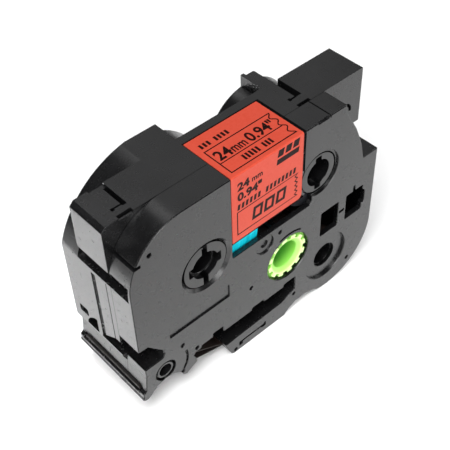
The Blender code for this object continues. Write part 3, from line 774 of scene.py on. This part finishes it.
def make_body():
    """The deep half with the square rear corners, back plate, guide posts and clutch boss."""
    half = slab("body_shell", middle_outline(), CORNER_FRONT, BACK, SEAM)
    before = CORNER_FRONT - BEYOND
    valley_back = CORNER_BACK - WALL
    cutters = [lipped("waste", outline, BACK, BACK - CORNER_BACK, EDGE, -1) for outline in back_wastes()]
    cutters += interior_cutters(before, INNER_BACK) + spool_hole_cutters(BACK, -1) + corner_catch_cutters()
    cutters += [block("valley", VALLEY_X, (before - HAIR, valley_back), (45.0, DEPTH - WALL)),
                block("corner_room", (29.0, RIGHT_X - WALL), (CORNER_FRONT + WALL, valley_back - HAIR),
                      (NOTCH_TOP + WALL, DEPTH - WALL + HAIR)),
                block("recess", LABEL_ROOM, (before - 0.5, LABEL_BACK + GAP), (DEPTH - RECESS, DEPTH + 2.0)),
                soft_block("groove", (LEFT_X - 2.0, LEFT_X + 1.8), (before - 1.0, 7.3), GROOVE_Z),
                lipped("hook", band((37.9, 55.7), 2.1, 0.9, -15.0, 90.0), CORNER_FRONT, 1.4, 0.06)]
    cutters += left_wall_cutters()
    cut(half, *cutters)
    posts = [prism("post", circle((x, z), radius, 30.0), INNER_FRONT + GAP, INNER_BACK + 0.5)
             for x, z, radius in POSTS]
    join(half, *posts, prism("boss", circle(TAKE_UP, 5.3), INNER_BACK - 2.8, INNER_BACK + 0.5))
    cut(half, lipped("hole", circle(TAKE_UP, 4.4), BACK, PLATE + 4.0, 0.15, -1))
    return finish(smooth(half), "case", "bottom_case", CASE)


make_cover()
make_body()


# ---------------------------------------------------------------- spools

CORE_END = INNER_BACK - GAP
SOFT = 0.2


def softened(profile, size=SOFT):
    """A lathe profile with its corners cut off."""
    return rounded(profile, size, 2)


def core_profile(bore, hub, core, end, size=SOFT):
    """Profile of a core: a wide drum between the plates and a narrower hub through each of them."""
    profile = [(bore, -end), (hub, -end), (hub, -CORE_END), (core, -CORE_END), (core, CORE_END),
               (hub, CORE_END), (hub, end), (bore, end)]
    return softened(profile, size)


def key_cutters(centre, half_x, half_z, end, depth):
    """Slots across both ends of a hub, by their half widths along X and Z."""
    x_range = (centre[0] - half_x, centre[0] + half_x)
    z_range = (centre[1] - half_z, centre[1] + half_z)
    outline = rounded(rectangle(*x_range, *z_range), 0.3)
    return [lipped("key", outline, side * end, depth, 0.12, -side) for side in (-1.0, 1.0)]


def make_adhesive_spool():
    """Core of the adhesive roll: slotted hub ends over a thin inner tube."""
    end = node_range("adhesive_spool", 1)[1]
    spool = lathe("adhesive_reel_core", ADHESIVE, core_profile(4.2, 7.0, 8.6, end), 5.0)
    cut(spool, *key_cutters(ADHESIVE, 0.85, 7.8, end, 3.4))
    cut(spool, *key_cutters(ADHESIVE, 5.3, 1.45, end, 3.2))
    tube = [(3.7, 1.9 - end), (4.3, 1.9 - end), (4.3, end - 1.9), (3.7, end - 1.9)]
    join(spool, lathe("tube", ADHESIVE, softened(tube, 0.1), 5.0))
    return finish(smooth(spool), "adhesive_reel", "adhesive_spool", SPOOL)


def make_film_spool():
    """Core of the clear film roll, with a key slot across each end of its bore."""
    end = node_range("film_spool", 1)[1]
    spool = lathe("film_reel_core", FILM, core_profile(4.1, 6.2, 6.9, end), 5.0)
    cut(spool, *key_cutters(FILM, 1.1, 5.4, end, 3.0))
    return finish(smooth(spool), "film_reel", "film_spool", SPOOL)


def make_ribbon_spool():
    """Core of the ink ribbon supply, with a thin neck for its brake spring."""
    profile = [(3.7, -CORE_END), (5.2, -CORE_END), (5.2, 10.2), (4.4, 10.2), (4.4, CORE_END), (3.7, CORE_END)]
    spool = lathe("ribbon_reel_core", RIBBON, softened(profile), 6.0)
    return finish(smooth(spool), "ribbon_reel", "ribbon_spool", SPOOL)


def toothed_outline(centre, root, tip, teeth, phase):
    """Outline of a ring of square teeth, the first one's middle at an angle in degrees."""
    points = []
    for tooth in range(teeth):
        middle = phase + 360.0 * tooth / teeth
        half = 90.0 / teeth
        points += arc(centre, tip, middle - half, middle + half, 3.0)
        points += arc(centre, root, middle + half, middle + 3.0 * half, 3.0)
    return points


def make_take_up_spool():
    """Green spool with a ring of drive teeth round a shallow funnel, and a well for its clutch.

    The funnel's levels are (radius, depth behind the teeth's face).
    """
    front = node_range("take_up_spool", 1)[0]
    profile = [(4.4, -CORE_END), (8.2, -CORE_END), (8.2, CORE_END), (7.3, CORE_END), (7.3, 9.7), (4.4, 9.7)]
    spool = lathe("take_up_reel_core", TAKE_UP, softened(profile), 5.0)
    teeth = rounded(toothed_outline(TAKE_UP, 6.1, 7.15, 12, 10.0), 0.15)
    join(spool, slab("teeth", teeth, front, 0.5 - CORE_END, 0.12, 0.05))
    levels = [(6.6, -SOFT), (6.0, 0.1), (4.7, 0.8), (4.45, 1.1), (4.45, -front)]
    funnel = [(circle(TAKE_UP, radius, 5.0), front + depth) for radius, depth in levels]
    cut(spool, stacked("funnel", funnel))
    return finish(smooth(spool), "take_up_reel", "take_up_spool", GREEN)


def make_feed_roller():
    """Hollow roller with a drum between the plates and a journal at each end."""
    end = node_range("feed_roller", 1)[1]
    roller = lathe("feed_roller_drum", ROLLER, core_profile(2.0, 2.65, 3.9, end, 0.15), 8.0)
    return finish(smooth(roller), "tape_roller", "feed_roller", GREY)


# ---------------------------------------------------------------- rolls, webs and springs

def make_roll(name, node, body, centre, inner, material):
    """A wound roll with soft edges, on the width of its CAD solid."""
    low, high = node_range(node, 1)
    outer = node_range(node, 0)[1] - centre[0]
    size = min(0.15, 0.4 * (high - low))
    profile = rounded([(inner, low), (outer, low), (outer, high), (inner, high)], size, 2)
    return finish(smooth(lathe(name, centre, profile, 4.0)), body, node, material)


def make_rolls():
    """The wound rolls and the two slip discs of the adhesive roll."""
    tape_side = wound_side("tape_side", (0.0, 0.50, 0.62), 0.4, ADHESIVE, 0.3)
    disc_skin = wound_side("disc_cyan", (0.0, 0.54, 0.68), 0.25, ADHESIVE, 1.5, 0.1)
    make_roll("tape_turns", "adhesive_tape_roll", "adhesive_reel", ADHESIVE, 8.9, tape_side)
    for end in ("front", "back"):
        make_roll("slip_disc_" + end, "spacer_disc_" + end, "adhesive_reel", ADHESIVE, 8.9, disc_skin)
    film = wound_side("film_side", (0.02, 0.021, 0.026), 0.3, FILM, 0.25)
    ribbon = wound_side("ribbon_side", (0.02, 0.012, 0.01), 0.25, RIBBON, 0.2)
    used = wound_side("used_ribbon_side", (0.03, 0.02, 0.018), 0.3, TAKE_UP, 0.2)
    make_roll("film_turns", "film_roll", "film_reel", FILM, 7.2, film)
    make_roll("ribbon_turns", "ink_ribbon_roll", "ribbon_reel", RIBBON, 5.5, ribbon)
    make_roll("used_ribbon_turns", "used_ribbon_roll", "take_up_reel", TAKE_UP, 8.5, used)


def dress(node, material):
    """Give a CAD node a finished material."""
    piece = frame["nodes"][node]
    piece.data.materials.clear()
    piece.data.materials.append(material)


def dress_webs_and_springs():
    """Materials of the CAD nodes that stay as they are."""
    dress("adhesive_web", thin_film("release_paper", (0.004, 0.003, 0.0027), 0.4))
    dress("film_web", thin_film("clear_film", (0.012, 0.008, 0.007), 0.4))
    dress("ink_ribbon_web", thin_film("ink_ribbon", (0.012, 0.006, 0.004), 0.4))
    steel = spring_wire("spring_steel")
    dress("clutch_spring", steel)
    dress("ribbon_brake_spring", steel)


make_adhesive_spool()
make_film_spool()
make_ribbon_spool()
make_take_up_spool()
make_feed_roller()
make_rolls()
dress_webs_and_springs()


# ---------------------------------------------------------------- label and its print

# The sheet's thickness, its bend over the rear edge and its rounded corner
SHEET = 0.2
BEND = 0.45
CORNER = 1.4

# The ink's thickness, the width of a frame's line, and a figure's height as a share of its font size
PRINT = 0.02
FRAME_LINE = 0.34
FIGURE_SHARE = 0.7

# Corners of the print closer than MERGE become one, and SORT_WEIGHTS put them in a fixed order
MERGE = 0.0001
SORT_WEIGHTS = Vector((1.0, 31.7, 977.3))


def sheet_section(run, lift):
    """Y and Z on the sticker at a distance along it from its lower edge, lifted off its outer face."""
    straight = LABEL_TOP - BEND - LABEL_BOTTOM
    bent = BEND * math.pi / 2
    if run <= straight:
        return LABEL_FACE - lift, LABEL_BOTTOM + run
    if run >= straight + bent:
        return LABEL_FACE + BEND + run - straight - bent, LABEL_TOP + lift
    angle = (run - straight) / BEND
    reach = BEND + lift
    return LABEL_FACE + BEND - reach * math.cos(angle), LABEL_TOP - BEND + reach * math.sin(angle)


def make_label():
    """The sticker: one sheet bent over the rear edge, with its lower right corner rounded."""
    bend_start = LABEL_TOP - BEND - LABEL_BOTTOM
    length = bend_start + BEND * math.pi / 2 + LABEL_BACK - LABEL_FACE - BEND
    runs = [CORNER * (1 - math.cos(math.radians(15 * k))) for k in range(7)]
    runs += [bend_start + BEND * math.radians(15 * k) for k in range(7)] + [length]
    bm = bmesh.new()
    rings = []
    for run in runs:
        short = max(0.0, CORNER - run)
        right = LABEL_HIGH_X - CORNER + math.sqrt(max(0.0, CORNER ** 2 - short ** 2))
        outside, inside = sheet_section(run, 0.0), sheet_section(run, -SHEET)
        rings.append([bm.verts.new((x, y, z)) for x, (y, z) in
                      ((LABEL_LOW_X, outside), (right, outside), (right, inside), (LABEL_LOW_X, inside))])
    for lower, upper in zip(rings, rings[1:]):
        for k in range(4):
            m = (k + 1) % 4
            bm.faces.new((lower[k], lower[m], upper[m], upper[k]))
    bm.faces.new(rings[0])
    bm.faces.new(rings[-1])
    return finish(smooth(mesh_object("label_sheet", bm)), "case", "cassette_label", RED)


def print_object(name, bm, place):
    """Give flat shapes in the sheet's own plane the print's thickness, and put them in place.

    The extrusion leaves corners and faces in a chance order, so they are sorted by where they are.
    """
    grown = bmesh.ops.extrude_face_region(bm, geom=list(bm.faces))
    moved = [item for item in grown["geom"] if isinstance(item, bmesh.types.BMVert)]
    bmesh.ops.translate(bm, vec=(0.0, 0.0, PRINT), verts=moved)
    bmesh.ops.transform(bm, matrix=place, verts=bm.verts)
    bm.verts.sort(key=lambda vert: vert.co.dot(SORT_WEIGHTS))
    bm.faces.sort(key=lambda face: face.calc_center_median().dot(SORT_WEIGHTS))
    return finish(smooth(mesh_object(name, bm)), "case", None, INK)


def print_polygons(name, polygons, place):
    """Printed polygons, joined where their corners meet."""
    bm = bmesh.new()
    for polygon in polygons:
        bm.faces.new([bm.verts.new((u, v, 0.0)) for u, v in polygon])
    bmesh.ops.remove_doubles(bm, verts=bm.verts, dist=MERGE)
    return print_object(name, bm, place)


def stroke(points, width):
    """A closed line of a given width as quads."""
    outer = inset(points, -width / 2)
    inner = inset(points, width / 2)
    count = len(points)
    return [(outer[i], outer[(i + 1) % count], inner[(i + 1) % count], inner[i]) for i in range(count)]


def bar(x0, x1, y0, y1, lean=0.0):
    """A bar between its lower corners and its top, which leans to the right by a distance."""
    return [(x0, y0), (x1, y0), (x1 + lean, y1), (x0 + lean, y1)]


def words(x0, x1, y0, y1, lengths, lean=0.0, fill=0.6):
    """A line of small print: words of short upright strokes, with a wider space between the words."""
    pitch = (x1 - x0) / (sum(lengths) + len(lengths) - 1)
    bars = []
    x = x0
    for length in lengths:
        for _ in range(length):
            bars.append(bar(x, x + fill * pitch, y0, y1, lean))
            x += pitch
        x += pitch
    return bars


def print_number(name, text, height, place, x_scale=1.0, boldness=0.035):
    """Printed figures of a given height, thickened by a share of it."""
    curve = bpy.data.curves.new(name, "FONT")
    curve.body = text
    curve.size = height / FIGURE_SHARE
    curve.offset = boldness * height
    holder = bpy.data.objects.new(name, curve)
    bpy.context.scene.collection.objects.link(holder)
    bpy.context.view_layer.update()
    graph = bpy.context.evaluated_depsgraph_get()
    flat = bpy.data.meshes.new_from_object(holder.evaluated_get(graph))
    bpy.data.objects.remove(holder)
    bm = bmesh.new()
    bm.from_mesh(flat)
    bmesh.ops.remove_doubles(bm, verts=bm.verts, dist=MERGE)
    bmesh.ops.scale(bm, vec=(x_scale, 1.0, 1.0), verts=bm.verts)
    return print_object(name, bm, place)


def wavy_frame(x0, x1, y0, y1, depth, waves):
    """A frame whose right side is torn in waves."""
    points = [(x0, y1), (x0, y0), (x1, y0)]
    count = waves * 8
    for k in range(1, count):
        t = k / count
        points.append((x1 - depth * (0.5 - 0.5 * math.cos(2 * math.pi * waves * t)), y0 + (y1 - y0) * t))
    return points + [(x1, y1)]


def zigzag_frame(x0, x1, y0, y1, depth, teeth):
    """A frame whose right side is cut in small teeth."""
    points = [(x0, y1), (x0, y0), (x1, y0)]
    for k in range(1, teeth * 2):
        points.append((x1 - depth * (k % 2), y0 + (y1 - y0) * k / (teeth * 2)))
    return points + [(x1, y1)]


def on_face(x, z):
    """Placement on the cover side of the sticker."""
    return Matrix(((1, 0, 0, x), (0, 0, -1, LABEL_FACE), (0, 1, 0, z), (0, 0, 0, 1)))


def on_edge(x, y):
    """Placement on the rear edge side of the sticker."""
    return Matrix(((1, 0, 0, x), (0, 1, 0, y), (0, 0, 1, LABEL_TOP), (0, 0, 0, 1)))


def print_edge_part():
    """Rear edge: a line of small print, then a torn frame round the tape width and more small print."""
    torn_frame = stroke(wavy_frame(0.0, 21.7, 0.0, 9.9, 1.3, 3), FRAME_LINE)
    middle = [bar(0.2, 20.7, 3.95, 4.25)]
    small = words(5.6, 15.6, 1.0, 3.0, (5, 3))
    header = words(0.4, 10.0, 11.1, 12.8, (3, 4))
    print_polygons("edge_print", torn_frame + middle + small + header, on_edge(-9.3, -12.5))
    print_number("edge_size", "24", 3.4, on_edge(-8.5, -7.6), 0.95)
    print_number("edge_unit", "mm", 2.9, on_edge(-3.8, -7.6), 0.75, 0.03)
    print_number("edge_inch", "0.94\"", 3.4, on_edge(1.7, -7.6), 0.9)


def print_face_part():
    """Cover side: tape width, a line of small print, bars for a mark, and three boxes in a frame."""
    small = words(0.0, 20.6, -6.6, -4.8, (6, 8), 0.3)
    mark = words(13.6, 21.6, 2.3, 4.5, (3,), 0.5, 0.75) + [bar(13.3, 21.0, 0.0, 1.7, 0.3)]
    zigzag = stroke(zigzag_frame(0.0, 21.0, -15.0, -7.3, 0.9, 5), FRAME_LINE)
    boxes = []
    for x in (5.4, 9.5, 13.6):
        boxes += stroke(bar(x, x + 2.5, -12.8, -9.5, 0.5), 0.9)
    print_polygons("face_print", small + mark + zigzag + boxes, on_face(-9.3, 62.5))
    print_number("face_size", "24", 2.4, on_face(-9.1, 62.3), 1.15, 0.06)
    print_number("face_unit", "mm", 1.7, on_face(-4.4, 62.6), 1.0, 0.04)
    print_number("face_inch", "0.94\"", 2.4, on_face(-9.1, 58.9), 1.15, 0.06)


make_label()
print_edge_part()
print_face_part()


# ---------------------------------------------------------------- camera, light and floor

def make_camera():
    """The camera, looking down at the cover from the front left."""
    data = bpy.data.cameras.new("camera")
    data.sensor_width = 36.0
    data.lens = 72.6
    data.clip_start = 0.01
    camera = bpy.data.objects.new("camera", data)
    camera.location = Vector((-114.11, -131.36, 212.87)) * MM
    camera.rotation_euler = [math.radians(angle) for angle in (44.183, 1.537, -42.236)]
    bpy.context.scene.collection.objects.link(camera)
    bpy.context.scene.camera = camera


def make_light(name, place, aim, size, power, spread=180.0):
    """A square softbox that points at a spot, with its beam narrowed to a spread in degrees."""
    data = bpy.data.lights.new(name, "AREA")
    data.shape = "SQUARE"
    data.size = size
    data.energy = power
    data.spread = math.radians(spread)
    light = bpy.data.objects.new(name, data)
    light.location = place
    light.rotation_euler = (Vector(aim) - Vector(place)).to_track_quat("-Z", "Y").to_euler()
    bpy.context.scene.collection.objects.link(light)


def make_stage():
    """A pale floor and a faint, even surround."""
    bm = bmesh.new()
    reach = 3.0
    bm.faces.new([bm.verts.new((x, y, 0.0)) for x, y in ((-reach, -reach), (reach, -reach), (reach, reach),
                                                          (-reach, reach))])
    mesh = bpy.data.meshes.new("floor")
    bm.to_mesh(mesh)
    bm.free()
    floor = bpy.data.objects.new("floor", mesh)
    bpy.context.scene.collection.objects.link(floor)
    mesh.materials.append(new_material("floor_white", (0.9, 0.9, 0.9), 0.6)[0])
    world = bpy.data.worlds.new("surround")
    world.use_nodes = True
    world.node_tree.nodes["Background"].inputs["Color"].default_value = (1.0, 1.0, 1.0, 1.0)
    world.node_tree.nodes["Background"].inputs["Strength"].default_value = 0.06
    bpy.context.scene.world = world
    bpy.context.scene.view_settings.view_transform = "Standard"


make_camera()

# Each softbox: where it is, the spot it points at, its size in metres, its power in watts, its spread.
# The black plastic shows the floor and these lights in its surface, so the small lights set its tones
make_light("key", (-0.25, -0.2, 0.62), (-0.03, 0.0, 0.0), 0.35, 5.5)
make_light("front", (-0.15, -0.55, 0.2), (0.0, -0.02, 0.02), 0.3, 1.6)
make_light("side", (-0.4, -0.28, 0.2), (-0.09, 0.03, 0.0), 0.2, 0.45)
make_light("floor_left", (-0.1, 0.035, 0.4), (-0.085, 0.035, 0.0), 0.1, 0.05, 12.0)
make_light("right", (0.62, -0.2, 0.3), (0.25, 0.2, 0.0), 0.35, 2.0)
make_light("overhead", (0.45, 0.71, 0.86), (0.0, 0.0, 0.05), 0.8, 0.9)
make_light("strip", (0.03, 0.53, 0.85), (0.0, 0.0, 0.05), 0.25, 0.2)
make_light("floor_back", (0.13, 0.29, 0.35), (0.13, 0.29, 0.0), 0.2, 0.3, 66.0)
make_stage()
